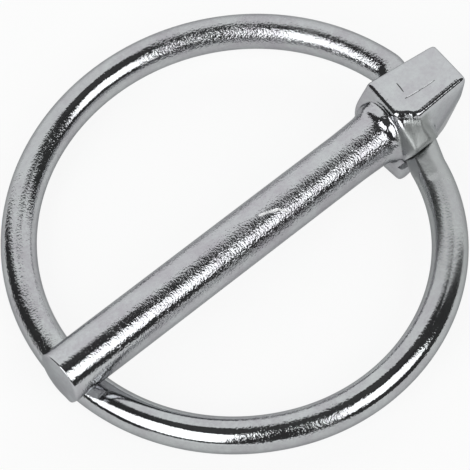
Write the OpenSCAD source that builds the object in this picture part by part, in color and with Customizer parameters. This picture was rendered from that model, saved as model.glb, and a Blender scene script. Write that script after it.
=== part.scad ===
// Lynch pin: a forged pin with a block head, and a sprung wire ring
// through the head that snaps over the far end of the pin.
// All sizes in mm.
// Modelled lying on a floor at z = 0: the ring touches it under the
// end of the shank and the head touches it with the end of its
// underside, so the shank runs slightly uphill towards its end.
// +X runs from the end of the shank to the head, +Z is up.

/* [Shank] */
// diameter of the shank, the part that goes through the hole
shank_d = 6; // [5.2:0.1:7]
// how far the shank reaches past the outside of the ring
tip_past = 1.3; // [0:0.1:3]
// bevel round the end of the shank
tip_bevel = 0.35; // [0.1:0.05:0.8]
// how much thinner the shank is drawn at its end
end_draft = 0.06; // [0.02:0.02:0.3]
// how far on the head's side of the ring that thinning starts
draft_clear = 1.2; // [0.8:0.1:3]
// length of the flare in front of the collar
flare_l = 4; // [2:0.5:6]
// how much the flare widens the radius by the time it meets the collar
flare_up = 0.12; // [0.04:0.02:0.2]

/* [Head] */
// length of the flat top, along the shank
top_l = 9.3; // [8:0.1:11]
// width of the flat top where it starts, above the shank
top_w = 7.3; // [6:0.1:8.5]
// width of the flat top at the end of the head
top_end_w = 5.8; // [4.8:0.1:7]
// turn of the flat top, seen from above, off the line of the shank
top_turn = 5; // [0:0.5:7]
// height of the flat top above the middle of the shank
head_up = 4.7; // [4:0.1:5.5]
// depth of the underside below the middle of the shank
head_down = 5.2; // [4.6:0.1:5.6]
// radius of the collar at the shoulder
collar_r = 4.5; // [4:0.1:4.6]
// lean of the shoulder, its underside reaching towards the shank's end
face_lean = 12; // [0:1:16]
// rounding of the top's edges
edge_r = 0.6; // [0.3:0.1:1]
// flat cut off the corner of the top on the near side
corner_cut = 1.9; // [1:0.1:2.6]

/* [Ring] */
// diameter of the ring's wire
wire_d = 4; // [3.4:0.1:4.4]
// radius of the ring to the middle of its wire
ring_r = 24.8; // [21:0.1:28]
// how far the middle of the ring sits to the far side of the shank
ring_side = 2.3; // [1:0.1:3]
// turn of the ring from its end to where the near arm is bent tighter
near_turn = 62; // [50:1:75]
// how much tighter the near arm is bent from there on
near_tuck = 3.2; // [2:0.1:3.6]
// radius of the bend where each arm turns into the head
elbow_r = 2.4; // [2.3:0.1:3.2]
// side position of the corner where the near arm turns in
near_elbow = 6.6; // [6.2:0.1:7]
// side position of the corner where the far arm turns in
far_elbow = 5.2; // [5:0.1:6.2]

/* [Hole through the head] */
// distance from the shoulder to the middle of the hole
eye_x = 3.3; // [2.9:0.1:3.6]
// metal left round the mouths of the hole
lug_wall = 0.45; // [0.3:0.05:0.7]
// side position of the near mouth
near_mouth = 4.6; // [4.3:0.1:4.8]
// side position of the far mouth
far_mouth = 3.8; // [3.6:0.1:4]
// overhang of the near mouth's face
mouth_lean = 25; // [10:1:28]

/* [Fits] */
// radial gap between the wire and its hole
bore_gap = 0.05; // [0.03:0.01:0.1]
// gap between the ring and the shank where the ring is stopped
rest_gap = 0.05; // [0.03:0.01:0.1]
// gap between the two ends of the wire, inside the hole
end_gap = 0.6; // [0.4:0.1:1.2]

/* [Hidden] */
$fn = 64;
shank_r = shank_d / 2;
wire_r = wire_d / 2;
bore_r = wire_r + bore_gap;
lug_r = bore_r + lug_wall;
collar_x = -0.5;

// the ring is laid out flat, its end at x = 0 and the line of the
// shank on y = 0: +X to the head, -Y the near side
ring_c = [ring_r, ring_side];
end_r = ring_r - near_tuck;
end_c = ring_c + near_tuck * [cos(180 + near_turn), sin(180 + near_turn)];
sag = ring_r - sqrt(ring_r * ring_r - ring_side * ring_side);

// the two corners, and the slanting line through them, which is
// the line the ring hinges on
far_x = ring_c[0] + sqrt(pow(ring_r, 2) - pow(far_elbow - ring_c[1], 2));
near_x = end_c[0] + sqrt(pow(end_r, 2) - pow(near_elbow + end_c[1], 2));
skew = atan2(far_x - near_x, far_elbow + near_elbow);
hinge_x = near_x + near_elbow * tan(skew);
hinge_p = [hinge_x, 0];
along = [sin(skew), cos(skew)];
across = [cos(skew), -sin(skew)];

// far elbow: an arc that touches the far arm and the hinge line
far_w = hinge_p - elbow_r * across - ring_c;
far_k = far_w * along;
far_t = -far_k + sqrt(far_k * far_k - far_w * far_w + pow(ring_r - elbow_r, 2));
far_e = hinge_p + far_t * along - elbow_r * across;
far_join = atan2(far_e[1] - ring_c[1], far_e[0] - ring_c[0]);

// near elbow: it bends the other way
near_w = hinge_p + elbow_r * across - end_c;
near_k = near_w * along;
near_t = near_k - sqrt(near_k * near_k - near_w * near_w + pow(end_r + elbow_r, 2));
near_e = hinge_p - near_t * along + elbow_r * across;
near_join = atan2(near_e[1] - end_c[1], near_e[0] - end_c[0]);

// the ring drops from the hole until its end lies under the shank
drop = asin((shank_r + wire_r + rest_gap) / (hinge_x - sag));
under_x = eye_x - hinge_x * cos(drop);
under_z = -hinge_x * sin(drop);
tip_x = under_x - wire_r - tip_past;

// the plain stretch of the shank, between its thinner end and its flare
draft_x = under_x + wire_r + draft_clear;
lip_x = collar_x - collar_r * sin(face_lean);
flare_x = lip_x - flare_l;

// the corners of the flat top, seen from above
turn = [cos(-top_turn), sin(-top_turn)];
side = [-turn[1], turn[0]];
front_far = [0.45, 3.8];
front_near = front_far - top_w * side;
end_far = front_far + top_l * turn - 0.25 * (top_w - top_end_w) * side;
end_near = end_far - top_end_w * side;

// the underside: where its two rounded edges run
under_r = 0.8;
toe_x = -1.2 + under_r;
heel_x = 7;

// how the whole pin lies: on the end of the ring and on its heel
lie_a = heel_x - under_x;
lie_b = under_r - head_down - under_z;
pitch = asin((wire_r - under_r) / sqrt(lie_a * lie_a + lie_b * lie_b)) + atan2(lie_b, lie_a);
floor_z = under_z * cos(pitch) - under_x * sin(pitch) - wire_r;
back_x = tip_x * cos(pitch) - shank_r * sin(pitch);
front_x = end_far[0] * cos(pitch) + head_up * sin(pitch);

module lying() {
    translate([-(back_x + front_x) / 2, -ring_side, -floor_z])
        rotate([0, pitch, 0])
            children();
}

// lays flat work, drawn with the hinge at the origin, onto the hole
module at_eye() {
    translate([eye_x, 0, 0])
        rotate([0, -drop, 0])
            children();
}

// turns local +Z onto the slanting hinge line, towards the far side
module on_hinge() {
    rotate([0, 0, -skew])
        rotate([-90, 0, 0])
            children();
}

// a round stretch of the shank, from one place and radius to another
module stretch(from, r_from, to, r_to) {
    translate([from, 0, 0])
        rotate([0, 90, 0])
            cylinder(r1 = r_from, r2 = r_to, h = to - from);
}

module shank() {
    tip_r = shank_r - end_draft / 2;
    stretch(tip_x, tip_r - tip_bevel, tip_x + tip_bevel, tip_r);
    stretch(tip_x + tip_bevel, tip_r, draft_x, shank_r);
    stretch(draft_x, shank_r, flare_x, shank_r);
    stretch(flare_x, shank_r, lip_x + flare_l / 2, shank_r + 1.5 * flare_up);
}

// a corner of the flat top, rounded, inset from p
module corner(p, dx, dy) {
    translate([p[0] + dx, p[1] + dy, head_up - edge_r])
        sphere(r = edge_r, $fn = 16);
}

// a rounded edge along Y of the underside
module under_edge(x, from, to) {
    translate([x, from, under_r - head_down])
        rotate([-90, 0, 0])
            cylinder(r = under_r, h = to - from, $fn = 32);
}

// a mouth of the hole; the near one's face leans over
module mouth(y, lean) {
    translate([eye_x + y * tan(skew), y, 0])
        rotate([90 + lean, 0, 0])
            translate([0, 0, -0.5])
                cylinder(r = lug_r, h = 0.5, $fn = 32);
}

// the head: a five-cornered flat top over a round collar that leans,
// drawn out to the two mouths of the hole
module head() {
    hull() {
        corner(front_far, edge_r, -edge_r);
        corner(front_near, edge_r, corner_cut + edge_r);
        corner(front_near, corner_cut, edge_r);
        corner(end_near, -edge_r, edge_r);
        corner(end_far, -edge_r, -edge_r);
        translate([collar_x, 0, 0])
            rotate([0, 90 + face_lean, 0])
                cylinder(r = collar_r, h = 1.2, $fn = 48);
        under_edge(toe_x, -3.4, 2.6);
        under_edge(heel_x, -2, 1.6);
        mouth(-near_mouth, mouth_lean);
        mouth(far_mouth, 180);
    }
}

module pin() {
    color("#aeb4b5")
        lying()
            difference() {
                union() {
                    shank();
                    head();
                }
                at_eye()
                    on_hinge()
                        translate([0, 0, -12])
                            cylinder(r = bore_r, h = 24);
            }
}

// one bend of the wire: centre, radius, first and last angle; where
// two bends meet, one is a hair thinner and runs on into the other
module bend(c, r, from, to, thin = 0) {
    over = (thin > 0) ? 0.1 / r * 180 / PI : 0;
    translate([c[0] - hinge_x, c[1], 0])
        rotate([0, 0, from - over])
            rotate_extrude(angle = to - from + 2 * over)
                translate([r, 0])
                    circle(r = wire_r - thin * 0.01);
}

// a straight end of the wire, inside the head
module wire_end(from, to) {
    on_hinge()
        translate([0, 0, from])
            cylinder(r = wire_r, h = to - from);
}

module ring() {
    color("#a3aaab")
        lying()
            at_eye() {
                wire_end(end_gap / 2, far_t);
                bend(far_e, elbow_r, -skew, far_join, 1);
                bend(ring_c, ring_r, far_join, 180 + near_turn);
                bend(end_c, end_r, 180 + near_turn, 360 + near_join, 1);
                bend(near_e, elbow_r, 180 - skew, 180 + near_join, 2);
                wire_end(-near_t, -end_gap / 2);
            }
}

pin();
ring();
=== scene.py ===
"""Lynch pin: a forged pin with a block head and a wire ring that swings over its end."""
import logging
import math
from dataclasses import dataclass, field
from enum import Enum

import bmesh
import bpy
import numpy as np
from mathutils import Matrix, Vector

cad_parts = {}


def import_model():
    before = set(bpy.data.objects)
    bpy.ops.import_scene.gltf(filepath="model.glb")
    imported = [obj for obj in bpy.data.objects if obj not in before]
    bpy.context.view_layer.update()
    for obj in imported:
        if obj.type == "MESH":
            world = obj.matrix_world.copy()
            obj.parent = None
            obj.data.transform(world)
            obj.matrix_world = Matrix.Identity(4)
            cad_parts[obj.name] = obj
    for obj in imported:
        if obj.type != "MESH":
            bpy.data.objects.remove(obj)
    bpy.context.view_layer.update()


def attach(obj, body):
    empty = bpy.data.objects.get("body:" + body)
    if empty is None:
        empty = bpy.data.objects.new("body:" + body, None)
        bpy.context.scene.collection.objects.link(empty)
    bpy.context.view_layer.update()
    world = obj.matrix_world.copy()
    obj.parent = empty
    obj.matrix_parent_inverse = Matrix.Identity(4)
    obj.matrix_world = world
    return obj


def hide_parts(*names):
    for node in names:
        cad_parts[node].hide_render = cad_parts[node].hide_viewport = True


LOG = logging.getLogger("lynch_pin")
MM = 0.001
UP = np.array([0.0, 0.0, 1.0])
WHITE = (1.0, 1.0, 1.0, 1.0)
Stops = tuple[tuple[float, float], ...]


def mm(*values: float) -> tuple[float, ...]:
    """Returns lengths given in millimetres as metres."""
    return tuple(v * MM for v in values)


class Socket(Enum):
    """The kinds of socket that the node groups use."""

    FLOAT = "NodeSocketFloat"
    COUNT = "NodeSocketInt"
    VECTOR = "NodeSocketVector"
    MATERIAL = "NodeSocketMaterial"
    GEOMETRY = "NodeSocketGeometry"


class NodeBook:
    """A thin helper that adds and links nodes in one tree."""

    def __init__(self, tree: bpy.types.NodeTree) -> None:
        """Keeps the tree and empties it."""
        self.tree = tree
        tree.nodes.clear()

    def add(self, kind: str, *sources: object, **settings: object) -> bpy.types.Node:
        """Adds one node.

        Args:
            kind: the node's class name.
            sources: what feeds its inputs, in order.
            settings: attributes to set on it first.

        Returns:
            The new node.
        """
        node = self.tree.nodes.new(kind)
        for name, value in settings.items():
            setattr(node, name, value)
        for socket, source in zip(node.inputs, sources):
            self.feed(socket, source)
        return node

    def feed(self, socket: bpy.types.NodeSocket, source: object) -> None:
        """Links a socket to an output, or sets it to a plain value.

        Args:
            socket: the input to feed.
            source: an output socket, a number or a tuple.
        """
        if isinstance(source, bpy.types.NodeSocket):
            self.tree.links.new(source, socket)
        else:
            socket.default_value = source

    def fill(self, node: bpy.types.Node, sources: dict[str, object]) -> bpy.types.Node:
        """Feeds some of a node's inputs.

        Args:
            node: the node.
            sources: what feeds each input, by the input's name.

        Returns:
            The node.
        """
        for label, source in sources.items():
            self.feed(node.inputs[label], source)
        return node

    def math(self, operation: str, *sources: object, clamp: bool = False) -> bpy.types.NodeSocket:
        """Adds a Math node, fed in order, and returns its output socket."""
        return self.add("ShaderNodeMath", *sources, operation=operation, use_clamp=clamp).outputs[0]

    def vector(self, operation: str, *sources: object) -> bpy.types.Node:
        """Adds a Vector Math node, fed in order, and returns the node."""
        return self.add("ShaderNodeVectorMath", *sources, operation=operation)

    def ramp(self, value: object, low: float, high: float, to_low: float = 0.0,
             to_high: float = 1.0) -> bpy.types.NodeSocket:
        """Adds a smooth Map Range node and returns its output socket."""
        sources = (value, low, high, to_low, to_high)
        return self.add("ShaderNodeMapRange", *sources, interpolation_type="SMOOTHSTEP").outputs[0]

    def mix(self, share: object, first: object, second: object) -> bpy.types.NodeSocket:
        """Adds a Mix node for colours and returns its output socket."""
        node = self.add("ShaderNodeMix", data_type="RGBA")
        return self.fill(node, {"Factor": share, "A": first, "B": second}).outputs["Result"]

    def noise(self, where: object, scale: object, detail: float, roughness: float) -> bpy.types.NodeSocket:
        """Adds a noise texture, its scale in cells per metre, and returns its value from 0 to 1."""
        sources = {"Vector": where, "Scale": scale, "Detail": detail, "Roughness": roughness}
        return self.fill(self.add("ShaderNodeTexNoise"), sources).outputs["Fac"]


def open_group(name: str, kind: str, inputs: dict[str, Socket],
               outputs: dict[str, Socket]) -> tuple[NodeBook, bpy.types.Node, bpy.types.Node]:
    """Starts a node group with its sockets.

    Args:
        name: the group's name.
        kind: the class name of its tree.
        inputs: its inputs and their kinds.
        outputs: its outputs and their kinds.

    Returns:
        Its nodes' book, its input node and its output node.
    """
    tree = bpy.data.node_groups.new(name, kind)
    for way, sockets in (("INPUT", inputs), ("OUTPUT", outputs)):
        for label, socket in sockets.items():
            tree.interface.new_socket(label, in_out=way, socket_type=socket.value)
    book = NodeBook(tree)
    return book, book.add("NodeGroupInput"), book.add("NodeGroupOutput")


@dataclass(frozen=True)
class PlateSkin:
    """The shader group for the skin of a bright zinc plate: a fine grain, soft waves and cloudy tint."""

    name: str = "plate_skin"
    patches_per_metre: float = 300.0
    clouds_per_metre: float = 260.0
    mottle_per_metre: float = 2300.0
    smears_per_metre: float = 900.0

    def build(self) -> bpy.types.NodeTree:
        """Builds the group once.

        Returns:
            A tree with the outputs Height, Tint, Mottle and Dullness.
        """
        made = bpy.data.node_groups.get(self.name)
        if made:
            return made
        floats = ("Grain Per Metre", "Grain Depth", "Wave Per Metre", "Wave Depth", "Patchiness", "Share")
        inputs = {"Where": Socket.VECTOR, "Stretch": Socket.VECTOR} | dict.fromkeys(floats, Socket.FLOAT)
        outputs = dict.fromkeys(("Height", "Tint", "Mottle", "Dullness"), Socket.FLOAT)
        book, enter, leave = open_group(self.name, "ShaderNodeTree", inputs, outputs)
        where = enter.outputs["Where"]
        along = book.vector("MULTIPLY", where, enter.outputs["Stretch"]).outputs["Vector"]
        fine = book.noise(along, enter.outputs["Grain Per Metre"], 1.5, 0.6)
        wave = book.noise(where, enter.outputs["Wave Per Metre"], 2.0, 0.5)
        patch = book.ramp(book.noise(where, self.patches_per_metre, 3.0, 0.6), 0.34, 0.66)
        bare = book.math("MULTIPLY", enter.outputs["Patchiness"], book.math("SUBTRACT", 1.0, patch))
        share = book.math("MULTIPLY", book.math("SUBTRACT", 1.0, bare), enter.outputs["Share"])
        grain = book.math("MULTIPLY", book.math("MULTIPLY", fine, enter.outputs["Grain Depth"]), share)
        swell = book.math("MULTIPLY", wave, enter.outputs["Wave Depth"])
        mottle = book.noise(where, self.mottle_per_metre, 3.0, 0.65)
        book.fill(leave, {"Height": book.math("ADD", grain, swell),
                          "Tint": book.noise(where, self.clouds_per_metre, 5.0, 0.62),
                          "Mottle": book.ramp(mottle, 0.3, 0.7),
                          "Dullness": book.noise(where, self.smears_per_metre, 4.0, 0.6)})
        return book.tree


@dataclass(frozen=True)
class StraightMark:
    """The shader group for one straight mark between two points: its mask across the surface."""

    name: str = "straight_mark"

    def build(self) -> bpy.types.NodeTree:
        """Builds the group once.

        Returns:
            A tree whose output Mask is 1 on the line and 0 away from it.
        """
        made = bpy.data.node_groups.get(self.name)
        if made:
            return made
        inputs = dict.fromkeys(("Where", "From", "To"), Socket.VECTOR) | {"Half Width": Socket.FLOAT}
        book, enter, leave = open_group(self.name, "ShaderNodeTree", inputs, {"Mask": Socket.FLOAT})
        run = book.vector("SUBTRACT", enter.outputs["To"], enter.outputs["From"]).outputs["Vector"]
        out = book.vector("SUBTRACT", enter.outputs["Where"], enter.outputs["From"]).outputs["Vector"]
        dot = book.vector("DOT_PRODUCT", out, run).outputs["Value"]
        square = book.vector("DOT_PRODUCT", run, run).outputs["Value"]
        along = book.math("DIVIDE", dot, square, clamp=True)
        foot = book.vector("SCALE", run)
        book.feed(foot.inputs["Scale"], along)
        gap = book.vector("DISTANCE", out, foot.outputs["Vector"]).outputs["Value"]
        taper = book.math("POWER", book.math("SINE", book.math("MULTIPLY", along, math.pi)), 0.35)
        width = book.math("MAXIMUM", book.math("MULTIPLY", enter.outputs["Half Width"], taper), 1e-7)
        inside = book.math("SUBTRACT", 1.0, book.math("DIVIDE", gap, width), clamp=True)
        book.feed(leave.inputs["Mask"], inside)
        return book.tree


@dataclass(frozen=True)
class Mark:
    """One straight mark on a surface, with its places and sizes in millimetres: a dark stroke, or a painted
    highlight when bright.
    """

    start: tuple[float, float, float]
    end: tuple[float, float, float]
    half_width: float
    depth: float
    # when bright, the mark is a painted highlight: a glint line painted white
    bright: bool = False

    def colour(self) -> tuple[float, float, float, float]:
        """Returns the colour along the middle of the mark: near black for a dark stroke, near white for a
        painted highlight.
        """
        return (0.9, 0.9, 0.9, 1.0) if self.bright else (0.1, 0.1, 0.1, 1.0)

    def strength(self) -> float:
        """Returns how much of that colour covers the plate."""
        return 1.0 if self.bright else 0.75


@dataclass(frozen=True)
class ZincPlate:
    """A bright zinc finish: its colours, its gloss, the grain under it and the marks on it, dark strokes and
    painted highlights.

    The piece's own attributes say where it holds: "grain" for the grain, and "matte" for a rubbed place.
    """

    name: str
    colour: tuple[float, float, float]
    cloud: tuple[float, float, float]
    grain_per_metre: float
    grain_depth: float
    stretch: tuple[float, float, float] = (1.0, 1.0, 1.0)
    marks: tuple[Mark, ...] = ()
    rim: tuple[float, float, float] = (0.5, 0.51, 0.515)
    rubbed: tuple[float, float, float] = (0.40, 0.415, 0.41)
    rubbed_roughness: float = 0.4
    roughness: float = 0.035
    rougher: float = 0.05
    # how far the clouds, the grain and the mottle each take the colour over to the cloud's
    cloud_share: float = 0.6
    grain_share: float = 0.15
    mottle_share: float = 0.3
    wave_per_metre: float = 500.0
    wave_depth: float = 0.01
    patchiness: float = 0.4
    # how far a painted highlight takes the metal away, so that its white shows as a glint
    painted_glint_cover: float = 0.85

    def build(self) -> bpy.types.Material:
        """Builds the material.

        Returns:
            The finished material.
        """
        material = bpy.data.materials.new(self.name)
        material.use_nodes = True
        book = NodeBook(material.node_tree)
        where = book.add("ShaderNodeTexCoord").outputs["Object"]
        grain = book.add("ShaderNodeAttribute", attribute_name="grain").outputs["Fac"]
        matte = book.add("ShaderNodeAttribute", attribute_name="matte").outputs["Fac"]
        skin = book.add("ShaderNodeGroup", node_tree=PlateSkin().build())
        book.fill(skin, {"Where": where, "Share": grain, "Stretch": self.stretch,
                         "Patchiness": self.patchiness,
                         "Grain Per Metre": self.grain_per_metre, "Grain Depth": self.grain_depth,
                         "Wave Per Metre": self.wave_per_metre, "Wave Depth": self.wave_depth})
        clouds = book.math("MULTIPLY", book.ramp(skin.outputs["Tint"], 0.32, 0.68), self.cloud_share)
        mixed = book.math("ADD", clouds, book.math("MULTIPLY", grain, self.grain_share))
        mottle = book.math("MULTIPLY", skin.outputs["Mottle"], self.mottle_share)
        mixed = book.math("ADD", mixed, mottle, clamp=True)
        colour = book.mix(mixed, (*self.colour, 1.0), (*self.cloud, 1.0))
        colour = book.mix(matte, colour, (*self.rubbed, 1.0))
        height = skin.outputs["Height"]
        metal: object = 1.0
        for mark in self.marks:
            line = book.add("ShaderNodeGroup", where, mm(*mark.start), mm(*mark.end), mark.half_width * MM,
                            node_tree=StraightMark().build())
            height = book.math("SUBTRACT", height, book.math("MULTIPLY", line.outputs["Mask"], mark.depth))
            share = book.math("MULTIPLY", book.ramp(line.outputs["Mask"], 0.0, 0.6), mark.strength())
            colour = book.mix(share, colour, mark.colour())
            # a bright mark is a painted highlight: less metal, so its white shows as a glint whatever is
            # mirrored there
            if mark.bright:
                cover = book.math("MULTIPLY", share, self.painted_glint_cover)
                metal = book.math("SUBTRACT", metal, cover, clamp=True)
        bump = book.fill(book.add("ShaderNodeBump"), {"Strength": 1.0, "Distance": MM, "Height": height})
        dull = book.ramp(skin.outputs["Dullness"], 0.3, 0.7, self.roughness, self.roughness + self.rougher)
        dull = book.math("ADD", dull, book.math("MULTIPLY", matte, self.rubbed_roughness))
        surface = book.add("ShaderNodeBsdfPrincipled")
        book.fill(surface, {"Base Color": colour, "Roughness": dull, "Normal": bump.outputs["Normal"],
                            "Metallic": metal, "Specular Tint": (*self.rim, 1.0)})
        book.add("ShaderNodeOutputMaterial", surface.outputs["BSDF"])
        return material


@dataclass
class Lie:
    """How the pin lies on the floor: takes the pin's own lengths to the place they lie in.

    The pin's own x runs along the shank from the shoulder, in millimetres.
    """

    pitch_deg: float
    shift: tuple[float, float, float]

    def matrix(self) -> np.ndarray:
        """Returns the turn as a 3 by 3 array."""
        a = math.radians(self.pitch_deg)
        return np.array([[math.cos(a), 0, math.sin(a)], [0, 1, 0], [-math.sin(a), 0, math.cos(a)]])

    def place(self, points: np.ndarray) -> np.ndarray:
        """Returns points given in the pin's own millimetres in metres, as they lie."""
        return (np.asarray(points, float) @ self.matrix().T + np.array(self.shift)) * MM

    def unplace(self, points: np.ndarray) -> np.ndarray:
        """Returns placed points, given in metres, in the pin's own millimetres."""
        return (np.asarray(points, float) / MM - np.array(self.shift)) @ self.matrix()

    def spot(self, x: float, y: float, z: float) -> tuple[float, float, float]:
        """Returns one placed point, back in millimetres."""
        return tuple(float(v) for v in self.place(np.array([x, y, z])) / MM)


def mesh_object(name: str, points: np.ndarray, faces: list[tuple[int, ...]],
                edges: list[tuple[int, int]] | None = None) -> bpy.types.Object:
    """Makes a mesh object at the origin.

    Args:
        name: its name.
        points: its vertices in metres.
        faces: its faces as index tuples.
        edges: its loose edges as index pairs.

    Returns:
        The linked object.
    """
    mesh = bpy.data.meshes.new(name)
    mesh.from_pydata([tuple(point) for point in points], edges or [], faces)
    mesh.update()
    thing = bpy.data.objects.new(name, mesh)
    bpy.context.scene.collection.objects.link(thing)
    return thing


def tube_faces(rows: int, count: int) -> list[tuple[int, ...]]:
    """Lays the faces between rows of points.

    Args:
        rows: how many rows there are.
        count: how many points a row holds, round a closed line.

    Returns:
        The faces as index tuples.
    """
    steps = [(j, (j + 1) % count) for j in range(count)]
    return [(here + j, here + k, here + count + k, here + count + j)
            for here in range(0, (rows - 1) * count, count) for j, k in steps]


def worked_mesh(thing: bpy.types.Object) -> bpy.types.Mesh:
    """Returns a new mesh, the object's own with its modifiers applied."""
    bpy.context.view_layer.update()
    return bpy.data.meshes.new_from_object(thing.evaluated_get(bpy.context.evaluated_depsgraph_get()))


def turn_outwards(mesh: bpy.types.Mesh, merge: float = 0.0) -> None:
    """Turns a closed mesh's faces outwards.

    Args:
        mesh: the mesh, changed in place.
        merge: how near vertices are merged first, in metres; 0 merges none.
    """
    work = bmesh.new()
    work.from_mesh(mesh)
    if merge:
        bmesh.ops.remove_doubles(work, verts=work.verts, dist=merge)
    bmesh.ops.recalc_face_normals(work, faces=work.faces)
    work.to_mesh(mesh)
    work.free()


def paint(mesh: bpy.types.Mesh, name: str, shares: np.ndarray) -> None:
    """Stores a share at each vertex as a named attribute, for the finish to read."""
    layer = mesh.attributes.new(name, "FLOAT", "POINT")
    layer.data.foreach_set("value", np.ascontiguousarray(shares, np.float32))


def along_stops(places: np.ndarray, stops: Stops) -> np.ndarray:
    """Returns the value at each place between the stops."""
    return np.interp(places, [place for place, _ in stops], [value for _, value in stops])


def fade(places: np.ndarray, start: float, run: float) -> np.ndarray:
    """Returns a share that is 0 at start and 1 from start + run on; a negative run goes the other way."""
    return np.clip((places - start) / run, 0, 1)


def circle_angles(count: int) -> np.ndarray:
    """Returns evenly spaced angles round a circle, in radians."""
    return np.linspace(0, 2 * math.pi, count, endpoint=False)


def unit(way: np.ndarray) -> np.ndarray:
    """Returns a direction at length 1."""
    return way / np.linalg.norm(way)


def mesh_points(mesh: bpy.types.Mesh) -> np.ndarray:
    """Reads a mesh's vertices.

    Args:
        mesh: the mesh.

    Returns:
        Its vertices as rows, in metres.
    """
    points = np.empty(len(mesh.vertices) * 3)
    mesh.vertices.foreach_get("co", points)
    return points.reshape(-1, 3)


def soften(mesh: bpy.types.Mesh, sharp_deg: float) -> None:
    """Shades a mesh smooth, with edges over an angle kept sharp.

    Args:
        mesh: the mesh, changed in place.
        sharp_deg: the angle in degrees.
    """
    mesh.polygons.foreach_set("use_smooth", [True] * len(mesh.polygons))
    mesh.set_sharp_from_angle(angle=math.radians(sharp_deg))
    mesh.update()


@dataclass
class WireRing:
    """The ring of spring wire, bent flat, its ends turned into the head. Lengths in millimetres.

    It is laid out flat with its end at x = 0 and the line of the shank on y = 0, +x to the head and -y
    the near side, then dropped about the hole until its end lies under the shank.
    """

    lie: Lie
    wire_d: float = 3.976  # a hair under 4, so that nothing stands past the solid
    ring_r: float = 24.8
    ring_side: float = 2.3
    near_turn: float = 62.0
    near_tuck: float = 3.2
    elbow_r: float = 2.4
    near_elbow: float = 6.6
    far_elbow: float = 5.2
    eye_x: float = 3.3
    end_gap: float = 0.6
    shank_and_gap: float = 3.05
    # the middle of the ring as it lies, from which the turns of the stops below are counted
    middle_x: float = -18.8
    # pressed flats: turn round the wire, depth, and where each starts and stops from the near end
    flats: tuple[tuple[float, ...], ...] = ((74.0, 0.14, 2.2, 10.0), (24.0, 0.12, 2.2, 8.5))
    flat_reach: float = 15.0
    flat_run: float = 0.9
    # how coarse the grain is, by the turn round the ring
    grain: Stops = (
        (0, .5), (28, 1), (40, 1.3), (72, 1.2), (80, .3), (98, .15), (108, .6), (150, .5), (165, 1.1),
        (180, .8), (196, .1), (224, .12), (232, .6), (252, .7), (262, .12), (285, .3), (300, .3),
        (330, .4), (360, .5))
    # how rubbed the near arm is towards the head
    rubbed: Stops = ((0, 0), (6, 0), (284, 0), (298, .38), (318, .4), (332, .6), (352, .6), (360, 0))
    step: float = 0.22
    round_count: int = 56

    def arc(self, middle: np.ndarray, radius: float, start: float, end: float) -> np.ndarray:
        """Lays points along one bend, without its last point.

        Args:
            middle: the bend's middle.
            radius: its radius.
            start: its first angle, in radians.
            end: its last angle.

        Returns:
            The points as rows of x and y.
        """
        count = max(3, int(abs(end - start) * radius / self.step))
        angles = np.linspace(start, end, count, endpoint=False)
        return middle + radius * np.c_[np.cos(angles), np.sin(angles)]

    def straight(self, hinge: np.ndarray, along: np.ndarray, start: float, end: float) -> np.ndarray:
        """Lays points from one place to another along the hinge line, without the last one."""
        places = np.linspace(start, end, max(3, int(abs(end - start) / self.step)), endpoint=False)
        return hinge + places[:, None] * along

    def elbow(self, hinge: np.ndarray, along: np.ndarray, middle: np.ndarray, radius: float,
              way: int) -> tuple[float, np.ndarray, float]:
        """Fits an elbow that touches the hinge line and one arm of the ring.

        Args:
            hinge: where the hinge line crosses the shank's.
            along: the hinge line's direction.
            middle: the middle of the arm's bend.
            radius: the radius of that bend.
            way: 1 when the elbow lies inside the bend, -1 when it lies outside.

        Returns:
            Its place along the hinge line, its middle and the angle at which it meets the arm.
        """
        out = way * self.elbow_r * np.array([along[1], -along[0]])
        gap = hinge - out - middle
        back = gap @ along
        place = -back + math.sqrt(back ** 2 - gap @ gap + (radius - way * self.elbow_r) ** 2)
        elbow = hinge + place * along - out
        return place, elbow, math.atan2(*(elbow - middle)[::-1])

    def centreline(self) -> np.ndarray:
        """Works out the middle of the wire.

        Returns:
            Its points, evenly spaced, in the pin's own millimetres, from the far end to the near end.
        """
        centre = np.array([self.ring_r, self.ring_side])
        end_r = self.ring_r - self.near_tuck
        turn = math.radians(180 + self.near_turn)
        end_c = centre + self.near_tuck * np.array([math.cos(turn), math.sin(turn)])
        sag = self.ring_r - math.sqrt(self.ring_r ** 2 - self.ring_side ** 2)
        far_x = centre[0] + math.sqrt(self.ring_r ** 2 - (self.far_elbow - centre[1]) ** 2)
        near_x = end_c[0] + math.sqrt(end_r ** 2 - (self.near_elbow + end_c[1]) ** 2)
        skew = math.atan2(far_x - near_x, self.far_elbow + self.near_elbow)
        hinge = np.array([near_x + self.near_elbow * math.tan(skew), 0.0])
        along = np.array([math.sin(skew), math.cos(skew)])
        far_place, far_e, far_join = self.elbow(hinge, along, centre, self.ring_r, 1)
        near_place, near_e, near_join = self.elbow(hinge, along, end_c, end_r, -1)
        line = np.vstack([self.straight(hinge, along, self.end_gap / 2, far_place),
                          self.arc(far_e, self.elbow_r, -skew, far_join),
                          self.arc(centre, self.ring_r, far_join, turn),
                          self.arc(end_c, end_r, turn, near_join + 2 * math.pi),
                          self.arc(near_e, self.elbow_r, near_join + math.pi, math.pi - skew),
                          self.straight(hinge, along, near_place, -self.end_gap / 2),
                          hinge - self.end_gap / 2 * along])
        flat = np.c_[line - hinge, np.zeros(len(line))]
        drop = math.asin((self.shank_and_gap + self.wire_d / 2) / (hinge[0] - sag))
        cos, sin = math.cos(drop), math.sin(drop)
        fall = np.array([[cos, 0, -sin], [0, 1, 0], [sin, 0, cos]])
        return flat @ fall.T + np.array([self.eye_x, 0, 0])

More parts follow.
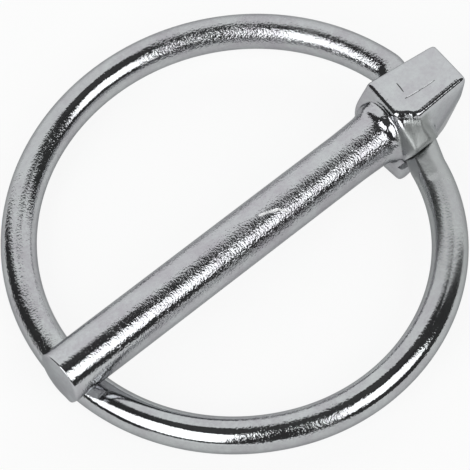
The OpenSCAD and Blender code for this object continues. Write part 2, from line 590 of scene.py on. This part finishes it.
    def sweep_tree(self) -> bpy.types.NodeTree:
        """Builds the geometry tree that draws round wire along a line.

        Returns:
            The tree, with the inputs Wire Radius, Sides and Finish.
        """
        inputs = {"Line": Socket.GEOMETRY, "Wire Radius": Socket.FLOAT, "Sides": Socket.COUNT,
                  "Finish": Socket.MATERIAL}
        book, enter, leave = open_group("round_wire", "GeometryNodeTree", inputs, {"Wire": Socket.GEOMETRY})
        curve = book.add("GeometryNodeMeshToCurve", enter.outputs["Line"])
        circle = book.add("GeometryNodeCurvePrimitiveCircle")
        book.fill(circle, {"Resolution": enter.outputs["Sides"], "Radius": enter.outputs["Wire Radius"]})
        sweep = book.add("GeometryNodeCurveToMesh", curve.outputs[0], circle.outputs[0])
        book.feed(sweep.inputs["Fill Caps"], True)
        smooth = book.add("GeometryNodeSetShadeSmooth", sweep.outputs[0])
        real = book.add("GeometryNodeRealizeInstances", smooth.outputs[0])
        dress = book.fill(book.add("GeometryNodeSetMaterial", real.outputs[0]),
                          {"Material": enter.outputs["Finish"]})
        book.feed(leave.inputs["Wire"], dress.outputs[0])
        return book.tree

    def build(self, finish: bpy.types.Material) -> bpy.types.Object:
        """Builds the ring as one closed mesh.

        Args:
            finish: its material.

        Returns:
            The ring's object.
        """
        points = self.lie.place(self.centreline())
        joins = [(i, i + 1) for i in range(len(points) - 1)]
        carrier = mesh_object("ring_line", points, [], joins)
        tree = self.sweep_tree()
        modifier = carrier.modifiers.new("round_wire", "NODES")
        modifier.node_group = tree
        values = {"Wire Radius": self.wire_d / 2 * MM, "Sides": self.round_count, "Finish": finish}
        for item in tree.interface.items_tree:
            if item.in_out == "INPUT" and item.name in values:
                modifier[item.identifier] = values[item.name]
        mesh = worked_mesh(carrier)
        bpy.data.objects.remove(carrier)
        mesh.name = "wire_ring"
        ring = bpy.data.objects.new("wire_ring", mesh)
        bpy.context.scene.collection.objects.link(ring)
        turn_outwards(mesh, merge=1e-7)
        self.press_flats(mesh)
        self.dress(mesh)
        LOG.info("wire ring: %d faces", len(mesh.polygons))
        return ring

    def dress(self, mesh: bpy.types.Mesh) -> None:
        """Stores where the grain is coarse and where the wire is rubbed, and shades it smooth.

        Args:
            mesh: the ring's mesh, changed in place.
        """
        own = self.lie.unplace(mesh_points(mesh))
        turn = np.degrees(np.arctan2(own[:, 1] - self.ring_side, own[:, 0] - self.middle_x)) % 360
        paint(mesh, "grain", along_stops(turn, self.grain))
        paint(mesh, "matte", along_stops(turn, self.rubbed))
        soften(mesh, 40)

    def press_flats(self, mesh: bpy.types.Mesh) -> None:
        """Presses the two shallow flats that the bending tool leaves on the near arm beside the head.

        Args:
            mesh: the ring's mesh, changed in place.
        """
        own = self.lie.unplace(mesh_points(mesh))
        line = self.centreline()
        last = len(line) - 1
        for i in range(len(line) - int(self.flat_reach / self.step), last):
            place = (last - i) * self.step
            side = unit(np.cross(unit(line[i - 1] - line[i + 1]), UP))
            side = side if side[0] < 0 else -side
            rim = slice(i * self.round_count, (i + 1) * self.round_count)
            for flat_deg, depth, start, stop in self.flats:
                share = float(np.clip(min(place - start, stop - place) / self.flat_run, 0, 1))
                share = share * share * (3 - 2 * share)
                angle = math.radians(flat_deg)
                normal = math.cos(angle) * side + math.sin(angle) * UP
                over = (own[rim] - line[i]) @ normal - (self.wire_d / 2 - depth * share)
                own[rim] -= np.clip(over, 0, None)[:, None] * normal
        mesh.vertices.foreach_set("co", self.lie.place(own).ravel())
        mesh.update()


@dataclass(frozen=True)
class HeadSizes:
    """The sizes of the block head, in millimetres and degrees."""

    front_far: tuple[float, float] = (0.45, 3.8)
    top_l: float = 9.3
    top_w: float = 7.3
    top_end_w: float = 5.8
    top_turn: float = 5.0
    head_up: float = 4.7
    head_down: float = 5.2
    corner_cut: float = 1.9
    edge_r: float = 0.62
    # how far the block spreads at each corner of the top, by the height draft_z
    draft: tuple[float, float, float, float, float] = (0.1, 0.3, 0.3, -0.35, -0.35)
    draft_z: float = 1.4
    collar_x: float = -0.5
    collar_r: float = 4.5
    face_lean: float = 12.0
    lug_r: float = 2.42
    near_mouth: float = 4.6
    far_mouth: float = 3.8
    mouth_lean: float = 25.0
    # metal past the near mouth, there to be cut off once the head is rounded
    spare: float = 0.15
    under_r: float = 0.8
    toe_x: float = -0.4
    heel_x: float = 7.0
    # folds of the forging at the cut corner: start, end, width and depth
    folds: tuple[tuple, ...] = (((0.9, -2.6, 4.3), (0.1, -4.1, 2.2), 0.32, 0.22),
                                ((1.6, -3.3, 4.2), (0.9, -4.4, 2.6), 0.30, 0.16))


@dataclass
class ForgedPin:
    """The forged pin: a round shank that ends blunt, and a block head. Lengths in millimetres.

    Its own x runs along the shank from the shoulder to the head, and -y is the near side.
    """

    lie: Lie
    ring: WireRing
    head: HeadSizes = field(default_factory=HeadSizes)
    shank_r: float = 3.0
    tip_x: float = -46.77
    tip_thinner: float = 0.03
    # where on the rim of the end the small nib stands
    nib_deg: float = 227.0
    # how far from the end the shank's even rows stop
    tip_rows: float = 1.6
    dish: float = 0.08
    draft_x: float = -40.28
    flare_x: float = -5.44
    flare_slope: float = 0.03
    fillet_x: float = -2.8
    fillet_bend: float = 0.06
    fillet_lip: float = 0.5
    join_x: float = -3.7
    # the point inside the head from which the grid of its surface is laid
    core_x: float = 4.2
    bore_gap: float = 0.05
    columns: int = 224
    head_rows: int = 176
    shank_rows: int = 110
    bore_sides: int = 72
    # how coarse the grain is, by the place along the pin
    grain: Stops = ((-46.8, .36), (-41, .42), (-34, .65), (-22, 1), (-2.4, 1), (-1.4, .5), (2, .16))

    def shank_radius(self, x: np.ndarray | float) -> np.ndarray:
        """Returns the shank's radius at places along it: thinner at its end, flared by the head."""
        drawn = self.tip_thinner * np.clip((self.draft_x - x) / (self.draft_x - self.tip_x), 0, 1)
        return self.shank_r - drawn + self.flare_slope * np.clip(x - self.flare_x, 0, None)

    def hinge_lean(self) -> float:
        """Returns how far the hole's line runs along the shank for each millimetre across it."""
        run = self.ring.centreline()[0] - self.ring.centreline()[-1]
        return math.hypot(run[0], run[2]) / run[1]

    def in_hole(self, y: float) -> tuple[float, float, float]:
        """Returns the middle of the hole at a distance to the far side of the shank's line."""
        return (self.ring.eye_x + y * self.hinge_lean(), y, 0)

    def ring_of(self, centre: tuple[float, float, float], radius: float, axis: tuple[float, float, float],
                count: int = 48) -> np.ndarray:
        """Returns points round a circle.

        Args:
            centre: its middle.
            radius: its radius.
            axis: its normal.
            count: how many points.

        Returns:
            The points as rows.
        """
        way = unit(np.array(axis))
        side = unit(np.cross(way, UP))
        angles = circle_angles(count)[:, None]
        return np.array(centre) + radius * (np.cos(angles) * side + np.sin(angles) * np.cross(side, way))

    def outline(self, grow: tuple[float, ...] = (0.0,) * 5) -> np.ndarray:
        """Returns the five corners of the flat top, seen from above.

        Args:
            grow: how far each moves outwards.

        Returns:
            Five rows of x and y.
        """
        head = self.head
        turn = np.array([math.cos(math.radians(-head.top_turn)), math.sin(math.radians(-head.top_turn))])
        side = np.array([-turn[1], turn[0]])
        far = np.array(head.front_far)
        near = far - head.top_w * side
        end_far = far + head.top_l * turn - 0.25 * (head.top_w - head.top_end_w) * side
        end_near = end_far - head.top_end_w * side
        cut = head.corner_cut
        corners = np.array([far, near + [0, cut], near + [cut, 0], end_near, end_far])
        away = corners - corners.mean(0)
        return corners + np.array(grow)[:, None] * away / np.linalg.norm(away, axis=1, keepdims=True)

    def core(self) -> np.ndarray:
        """Returns a few points round the head's core, which every lump holds."""
        waist = self.ring_of((self.core_x, 0, 0), 0.6, (1, 0, 0), 8)
        return np.vstack([waist, [[self.core_x - 0.6, 0, 0], [self.core_x + 0.6, 0, 0]]])

    def block(self) -> np.ndarray:
        """Lays the block: the flat top with its rounded edges, its drafted sides and its rounded underside.

        Returns:
            The points whose hull is the block.
        """
        head = self.head
        top = self.outline()
        inwards = (top.mean(0) - top) / np.linalg.norm(top - top.mean(0), axis=1, keepdims=True)
        parts = [self.core()]
        for deg in (0, 30, 60, 90):
            angle = math.radians(deg)
            inset = head.edge_r * (1 - math.cos(angle))
            rise = head.head_up - head.edge_r + head.edge_r * math.sin(angle)
            parts.append(np.c_[top + inwards * inset, np.full(5, rise)])
        parts.append(np.c_[self.outline(head.draft), np.full(5, head.draft_z)])
        under_z = head.under_r - head.head_down
        for x, near, far in ((head.toe_x - 0.1, -3.9, 2.6), (head.heel_x, -2.0, 1.6)):
            parts += [self.ring_of((x, y, under_z), head.under_r, (0, 1, 0), 16) for y in (near, far)]
        return np.vstack(parts)

    def collar(self) -> np.ndarray:
        """Lays the leaning collar, which runs on into the block under the top's far corner.

        Returns:
            The points whose hull is the collar.
        """
        head = self.head
        lean = math.radians(head.face_lean)
        parts = [self.core()]
        for deeper, smaller in ((0.0, 0.12), (0.25, 0.0), (2.2, 0.3)):
            parts.append(self.ring_of((head.collar_x + deeper, 0, 0), head.collar_r - smaller,
                                      (math.cos(lean), 0.0, -math.sin(lean)), 72))
        corner = self.outline()[0]
        return np.vstack([*parts, [[corner[0] + 0.05, corner[1] - 0.05, head.head_up - 0.55]]])

    def near_lug(self) -> np.ndarray:
        """Lays the near lug: round at its mouth, with a flat shelf that reaches up to the cut corner.

        Returns:
            The points whose hull is the lug.
        """
        head, lean = self.head, self.hinge_lean()
        lift = math.radians(head.mouth_lean)
        reach = head.near_mouth + head.spare
        eye_x, top = self.ring.eye_x, self.outline()
        face = (0, -math.cos(lift), -math.sin(lift))
        mouth = self.ring_of(self.in_hole(-reach), head.lug_r, face)
        inner = self.ring_of(self.in_hole(0), head.lug_r - 0.1, (lean, 1, 0))
        shelf = [[eye_x - y * lean + x, -y, z]
                 for y, z in ((2.0, 2.35), (reach + 1.0, 2.45)) for x in (-1.3, 1.2)]
        shelf += [[top[1][0] + 0.15, top[1][1] + 0.05, head.head_up - head.edge_r],
                  [top[2][0] + 0.05, top[2][1] + 0.15, head.head_up - head.edge_r]]
        return np.vstack([self.core(), mouth, inner, shelf])

    def far_lug(self) -> np.ndarray:
        """Lays the far lug, round at its mouth.

        Returns:
            The points whose hull is the lug.
        """
        mouth = self.ring_of(self.in_hole(self.head.far_mouth), self.head.lug_r, (0, 1, 0))
        inner = self.ring_of(self.in_hole(0), self.head.lug_r, (self.hinge_lean(), 1, 0))
        return np.vstack([self.core(), mouth, inner])

    def reach(self, points: np.ndarray, ways: np.ndarray) -> np.ndarray:
        """Works out how far the hull of some points reaches from the core.

        Args:
            points: the points, round the core.
            ways: unit directions from the core.

        Returns:
            One distance for each direction.
        """
        work = bmesh.new()
        for point in points:
            work.verts.new(point)
        bmesh.ops.convex_hull(work, input=work.verts, use_existing_faces=False)
        core = Vector((self.core_x, 0, 0))
        gauge = np.zeros(len(ways))
        for face in work.faces:
            normal = face.normal.copy()
            if face.calc_area() < 1e-5 or normal.length < 0.5:
                continue
            distance = normal.dot(face.verts[0].co - core)
            if distance < 0:
                normal, distance = -normal, -distance
            gauge = np.maximum(gauge, ways @ np.array(normal) / max(distance, 1e-3))
        work.free()
        return 1.0 / np.maximum(gauge, 1e-3)

    def head_grid(self) -> np.ndarray:
        """Lays a grid of points over the head, from the middle of its end to the shank.

        Returns:
            An array of rows by columns by 3, in the pin's own millimetres.
        """
        last = math.pi - math.atan2(float(self.shank_radius(self.join_x)), self.core_x - self.join_x)
        rows = np.linspace(0, last, self.head_rows + 1)[1:]
        lat, lon = np.meshgrid(rows, circle_angles(self.columns), indexing="ij")
        ways = np.stack([np.cos(lat), np.sin(lat) * np.cos(lon), np.sin(lat) * np.sin(lon)], -1)
        out = np.zeros(lat.size)
        for lump in (self.block(), self.collar(), self.near_lug(), self.far_lug()):
            out = np.maximum(out, self.reach(lump, ways.reshape(-1, 3)))
        out = out.reshape(lat.shape)
        reach_r = self.shank_r + self.flare_slope * (self.core_x - self.flare_x)
        slant = np.maximum(np.sin(lat) - self.flare_slope * np.cos(lat), 1e-3)
        shank = reach_r / slant
        for _ in range(12):
            x = self.core_x + shank * np.cos(lat)
            wanted = self.shank_radius(x) + self.fillet_bend * np.clip(x - self.fillet_x, 0, 1.6) ** 2
            wanted = wanted + self.fillet_lip * np.clip(x - self.fillet_x - 0.9, 0, 0.8) ** 2
            shank = 0.5 * shank + 0.5 * wanted / np.maximum(np.sin(lat), 1e-3)
        shank = np.where(lat > math.pi / 2 + 0.3, shank, 0.0)
        out = np.maximum(out, shank)
        return ways * out[..., None] + np.array([self.core_x, 0, 0])

    def relax(self, grid: np.ndarray) -> np.ndarray:
        """Rounds the head's edges, and blends the near corner, the collar and the near lug into each other.

        Args:
            grid: the head's points.

        Returns:
            The rounded grid.
        """
        fixed = grid[-1].copy()
        x, y, z = grid[..., 0], grid[..., 1], grid[..., 2]
        light = 0.6 * fade(x, -2.9, 1.0)
        corner = fade(x, -1.6, 0.8) * fade(x, 5.2, -2.0) * fade(y, -1.6, -0.9)
        blend = 0.8 * corner * fade(z, 3.9, -0.6) * fade(z, -1.6, 1.0)
        for weight, rounds in ((light, 10), (blend, 5), (light, 2)):
            for _ in range(rounds):
                above = np.vstack([np.roll(grid[:1], self.columns // 2, axis=1), grid[:-1]])
                below = np.vstack([grid[1:], fixed[None]])
                mean = (above + below + np.roll(grid, 1, 1) + np.roll(grid, -1, 1)) / 4
                grid = grid + weight[..., None] * (mean - grid)
                grid[-1] = fixed
        return grid

    def shank_grid(self) -> np.ndarray:
        """Lays the shank's rows, from the head to the rounded-over end.

        Returns:
            An array of rows by columns by 3, in the pin's own millimetres.
        """
        angles = circle_angles(self.columns)
        y, z = np.cos(angles), np.sin(angles)
        grid = []
        for x in np.linspace(self.join_x, self.tip_x + self.tip_rows, self.shank_rows)[1:]:
            radius = float(self.shank_radius(x))
            grid.append(np.stack([np.full_like(y, x), y * radius, z * radius], -1))
        # the end is rounded over more towards one side, but hardly at its nib
        low = np.clip(0.25 - 0.5 * (z * 0.85 + y * 0.35), 0, 1)
        nib = np.exp(-((angles - math.radians(self.nib_deg)) / 0.3) ** 2)
        edge = (0.2 + 0.25 * low) * (1 - nib) + 0.08 * nib
        back = 0.3 * (1 - low) * (1 - nib)
        for angle in np.linspace(0, math.pi / 2, 14):
            radius = self.shank_r - self.tip_thinner - edge * (1 - math.cos(angle))
            x = self.tip_x + back + edge * (1 - math.sin(angle))
            grid.append(np.stack([x, y * radius, z * radius], -1))
        rim = grid[-1]
        middle = np.array([self.tip_x + self.dish, 0.0, 0.0])
        for share in (0.86, 0.68, 0.5, 0.32, 0.16):
            row = middle + (rim - middle) * share
            row[:, 0] = middle[0] + (rim[:, 0] - middle[0]) * share ** 2
            grid.append(row)
        return np.array(grid)

    def build(self, finish: bpy.types.Material) -> bpy.types.Object:
        """Builds the pin as one closed mesh with the cross hole cut through.

        Args:
            finish: its material.

        Returns:
            The pin's object.
        """
        rows = np.concatenate([self.fold(self.relax(self.head_grid())), self.shank_grid()])
        points = np.vstack([rows.reshape(-1, 3), rows[0].mean(0), rows[-1].mean(0)])
        faces = tube_faces(len(rows), self.columns)
        last, head_end = (len(rows) - 1) * self.columns, len(points) - 2
        for j in range(self.columns):
            k = (j + 1) % self.columns
            faces += [(k, j, head_end), (last + j, last + k, head_end + 1)]
        pin = mesh_object("forged_pin", self.lie.place(points), faces)
        turn_outwards(pin.data)
        self.cut_mouth(pin)
        self.cut_eye(pin)
        self.dress(pin.data, finish)
        LOG.info("forged pin: %d faces", len(pin.data.polygons))
        return pin

    def dress(self, mesh: bpy.types.Mesh, finish: bpy.types.Material) -> None:
        """Gives the pin its finish, coarse along the shank and rubbed at the near corner of the head.

        Args:
            mesh: the pin's mesh, changed in place.
            finish: its material.
        """
        x, y, z = self.lie.unplace(mesh_points(mesh)).T
        paint(mesh, "grain", along_stops(x, self.grain))
        # the rubbed place widens towards the shank below the edge of the top
        lower = fade(z, 3.7, -0.5)
        rubbed = np.clip((x + 0.1 + 1.1 * lower) / 0.5, 0, 1) * fade(x, 3.6, -0.8)
        rubbed = rubbed * fade(y, -2.3, -0.5) * fade(z, 4.25, -0.3) * fade(z, 0.2, 0.8)
        paint(mesh, "matte", rubbed)
        mesh.materials.clear()
        mesh.materials.append(finish)
        soften(mesh, 35)

    def fold(self, grid: np.ndarray) -> np.ndarray:
        """Presses the forging's folds into the head at its cut corner.

        Args:
            grid: the head's rounded points.

        Returns:
            The same points with the folds pressed in.
        """
        normal = np.cross(np.roll(grid, -1, 1) - np.roll(grid, 1, 1), np.gradient(grid, axis=0))
        normal /= np.maximum(np.linalg.norm(normal, axis=-1, keepdims=True), 1e-9)
        outwards = grid - np.array([self.core_x, 0, 0])
        normal = normal * np.sign((normal * outwards).sum(-1, keepdims=True))
        for start, end, width, depth in self.head.folds:
            run = np.array(end) - start
            share = np.clip(((grid - start) @ run) / (run @ run), 0, 1)
            gap = np.linalg.norm(grid - start - share[..., None] * run, axis=-1)
            grid = grid - normal * (depth * np.exp(-(gap / width) ** 2))[..., None]
        return grid

    def cut_eye(self, pin: bpy.types.Object) -> None:
        """Cuts the slanting hole for the ring, a little wider at its mouths.

        Args:
            pin: the pin's object, changed in place.
        """
        line = self.ring.centreline()
        axis = unit(line[0] - line[-1])
        middle = (line[-1] + line[0]) / 2
        bore = self.ring.wire_d / 2 + self.bore_gap
        # places along the hole, the near side below 0, and its radius there
        stops = ((-14.0, bore + 0.16), (-4.6, bore + 0.16), (-3.9, bore), (3.6, bore), (4.0, bore + 0.1),
                 (14.0, bore + 0.1))
        count = self.bore_sides
        rings = [self.ring_of(middle + place * axis, radius, axis, count) for place, radius in stops]
        points = np.vstack(rings)
        faces = tube_faces(len(stops), count)
        faces += [tuple(range(count))[::-1], tuple(range(len(points) - count, len(points)))]
        self.take_away(pin, mesh_object("eye_tool", self.lie.place(points), faces))

    def cut_mouth(self, pin: bpy.types.Object) -> None:
        """Cuts the near lug off along its overhanging face.

        Args:
            pin: the pin's object, changed in place.
        """
        lean = math.radians(self.head.mouth_lean)
        out = np.array([0, -math.cos(lean), -math.sin(lean)])
        up = np.array([0, -math.sin(lean), math.cos(lean)])
        along = np.array([1.0, 0, 0])
        middle = np.array(self.in_hole(-self.head.near_mouth))
        points = np.array([middle + a * along * 4.5 + b * up * 3.0 + c * out
                           for c in (0.0, 4.0) for a, b in ((-1, -1), (1, -1), (1, 1), (-1, 1))])
        faces = [(0, 1, 2, 3), (4, 5, 6, 7), (0, 1, 5, 4), (1, 2, 6, 5), (2, 3, 7, 6), (3, 0, 4, 7)]
        self.take_away(pin, mesh_object("mouth_tool", self.lie.place(points), faces))

    @staticmethod
    def take_away(pin: bpy.types.Object, tool: bpy.types.Object) -> None:
        """Cuts one closed shape out of the pin and removes the shape.

        Args:
            pin: the pin's object, changed in place.
            tool: the shape to cut away.
        """
        turn_outwards(tool.data)
        cut = pin.modifiers.new("cut", "BOOLEAN")
        cut.operation, cut.solver, cut.object = "DIFFERENCE", "EXACT", tool
        mesh, old = worked_mesh(pin), pin.data
        pin.modifiers.remove(cut)
        pin.data = mesh
        bpy.data.meshes.remove(old)
        bpy.data.objects.remove(tool)


@dataclass(frozen=True)
class Window:
    """One lit window in the room, with its place, half sizes and soft edge in degrees."""

    bearing: float
    height: float
    half_width: float
    half_height: float
    edge: float
    strength: float

    def lit(self, book: NodeBook, bearing: object, height: object) -> bpy.types.NodeSocket:
        """Adds the nodes that light the window.

        Args:
            book: the world's nodes.
            bearing: the bearing looked along, in degrees.
            height: the height looked along, in degrees.

        Returns:
            Its strength there, 0 outside.
        """
        turn = book.math("WRAP", book.math("SUBTRACT", bearing, self.bearing), 180.0, -180.0)
        rise = book.math("SUBTRACT", height, self.height)
        masks = [book.ramp(book.math("ABSOLUTE", off), half - self.edge, half + self.edge, 1.0, 0.0)
                 for off, half in ((turn, self.half_width), (rise, self.half_height))]
        return book.math("MULTIPLY", book.math("MULTIPLY", *masks), self.strength)


@dataclass
class Studio:
    """The plain studio: a pale floor, a room with dark gaps between its windows, and the camera."""

    eye: tuple[float, float, float]
    right: tuple[float, float, float]
    up: tuple[float, float, float]
    lens: float
    floor_size: float = 1.2
    floor_sunk: float = 2e-5
    floor_colour: tuple[float, float, float] = (0.95, 0.96, 0.95)
    floor_white: float = 0.88
    floor_mirrored: float = 0.4
    room_colour: tuple[float, float, float] = (0.99, 1.0, 1.0)
    gap_strength: float = 0.05
    windows: tuple[Window, ...] = (
        Window(43.5, 12, 62.5, 49, 1.5, 0.98), Window(63, 55.5, 43, 13, 1.5, 0.98),
        Window(-81, 45, 25, 18.5, 1.5, 2.4), Window(-171, 42, 26, 24, 1.5, 2.6),
        Window(-134, -4, 36, 12, 3, 0.98), Window(0, 90, 190, 20, 4, 0.07))

    def build_floor(self) -> None:
        """Builds the floor: pale, and whiter to the camera and in the metal than the light on it gives."""
        half = self.floor_size / 2
        square = ((-half, -half), (half, -half), (half, half), (-half, half))
        corners = np.array([(x, y, -self.floor_sunk) for x, y in square])
        floor = mesh_object("studio_floor", corners, [(0, 1, 2, 3)])
        material = bpy.data.materials.new("pale_floor")
        material.use_nodes = True
        book = NodeBook(material.node_tree)
        surface = book.add("ShaderNodeBsdfDiffuse", (*self.floor_colour, 1.0))
        white = book.add("ShaderNodeEmission", WHITE)
        path = book.add("ShaderNodeLightPath")
        mirrored = book.math("MULTIPLY", path.outputs["Is Glossy Ray"], self.floor_mirrored)
        seen = book.math("MULTIPLY", path.outputs["Is Camera Ray"], self.floor_white)
        seen = book.math("ADD", seen, mirrored, clamp=True)
        blend = book.add("ShaderNodeMixShader", seen, surface.outputs[0], white.outputs[0])
        book.add("ShaderNodeOutputMaterial", blend.outputs[0])
        floor.data.materials.append(material)

    def build_world(self) -> None:
        """Builds the room: white to the camera, with windows and dark gaps in what the metal mirrors."""
        world = bpy.data.worlds.new("studio_room")
        bpy.context.scene.world = world
        world.use_nodes = True
        book = NodeBook(world.node_tree)
        parts = book.add("ShaderNodeSeparateXYZ", book.add("ShaderNodeTexCoord").outputs["Generated"])
        bearing = book.math("DEGREES", book.math("ARCTAN2", parts.outputs["Y"], parts.outputs["X"]))
        height = book.math("DEGREES", book.math("ARCSINE", parts.outputs["Z"]))
        strength: object = self.gap_strength
        for window in self.windows:
            strength = book.math("MAXIMUM", strength, window.lit(book, bearing, height))
        lit = book.add("ShaderNodeBackground", (*self.room_colour, 1.0), strength)
        plain = book.add("ShaderNodeBackground", WHITE, 1.0)
        seen = book.add("ShaderNodeLightPath").outputs["Is Camera Ray"]
        pick = book.add("ShaderNodeMixShader", seen, lit.outputs[0], plain.outputs[0])
        book.add("ShaderNodeOutputWorld", pick.outputs[0])

    def build_camera(self) -> None:
        """Places the camera and makes it the scene's."""
        data = bpy.data.cameras.new("studio_camera")
        data.sensor_width = 36.0
        data.lens = self.lens
        data.clip_start, data.clip_end = 0.01, 10.0
        camera = bpy.data.objects.new("studio_camera", data)
        bpy.context.scene.collection.objects.link(camera)
        right, up = Vector(self.right).normalized(), Vector(self.up).normalized()
        back = right.cross(up)
        turn = Matrix((right, up, back)).transposed().to_4x4()
        camera.matrix_world = Matrix.Translation(Vector(mm(*self.eye))) @ turn
        bpy.context.scene.camera = camera

    def build(self) -> None:
        """Builds the floor, the light and the camera."""
        self.build_floor()
        self.build_world()
        self.build_camera()
        bpy.context.scene.view_settings.view_transform = "Standard"


def strokes_and_painted_glints(lie: Lie) -> tuple[Mark, ...]:
    """Lays the marks on the pin: two thin strokes on the flat top, and on the shank a curved dark stroke
    that runs on as a painted highlight, a bright glint line.

    Args:
        lie: how the pin lies.

    Returns:
        The marks, where they lie.
    """
    spot = lie.spot
    return (Mark(spot(2.91, 1.44, 4.7), spot(2.66, 0.02, 4.7), 0.09, 0.05),
            Mark(spot(2.18, -0.71, 4.7), spot(4.3, -1.0, 4.7), 0.11, 0.08),
            Mark(spot(4.3, -1.0, 4.7), spot(6.3, -1.12, 4.7), 0.09, 0.06),
            Mark(spot(-21.42, 0.25, 2.99), spot(-18.96, -0.35, 2.97), 0.06, 0.05),
            # painted highlights: three bright glint lines along the shank
            Mark(spot(-18.96, -0.43, 2.97), spot(-17.75, -0.73, 2.91), 0.16, 0.05, True),
            Mark(spot(-18.0, -0.68, 2.92), spot(-16.5, -1.23, 2.73), 0.2, 0.05, True),
            Mark(spot(-16.75, -1.15, 2.77), spot(-15.83, -1.95, 2.28), 0.15, 0.05, True))


def main() -> None:
    """Builds the studio, the ring and the pin, and rides each piece on its body."""
    logging.basicConfig(level=logging.INFO, format="%(name)s %(message)s")
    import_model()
    Studio(eye=(-88.978, -118.114, 254.802), right=(0.74901, -0.66065, -0.05023),
           up=(0.59091, 0.63179, 0.50166), lens=204.624).build()
    lie = Lie(pitch_deg=2.1129974, shift=(18.50279204, -2.3, 5.45510107))
    wire_finish = ZincPlate("bright_zinc_wire", colour=(0.54, 0.565, 0.565), cloud=(0.42, 0.41, 0.435),
                            grain_per_metre=4300.0, grain_depth=0.07)
    forging_finish = ZincPlate("bright_zinc_forging", colour=(0.57, 0.595, 0.60), cloud=(0.45, 0.435, 0.465),
                               grain_per_metre=4300.0, grain_depth=0.085, stretch=(1.15, 0.8, 0.8),
                               marks=strokes_and_painted_glints(lie))
    ring = WireRing(lie=lie)
    ring_piece = ring.build(wire_finish.build())
    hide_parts("ring")
    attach(ring_piece, "ring")
    pin_piece = ForgedPin(lie=lie, ring=ring).build(forging_finish.build())
    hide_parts("pin")
    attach(pin_piece, "pin")


if __name__ == "__main__":
    main()
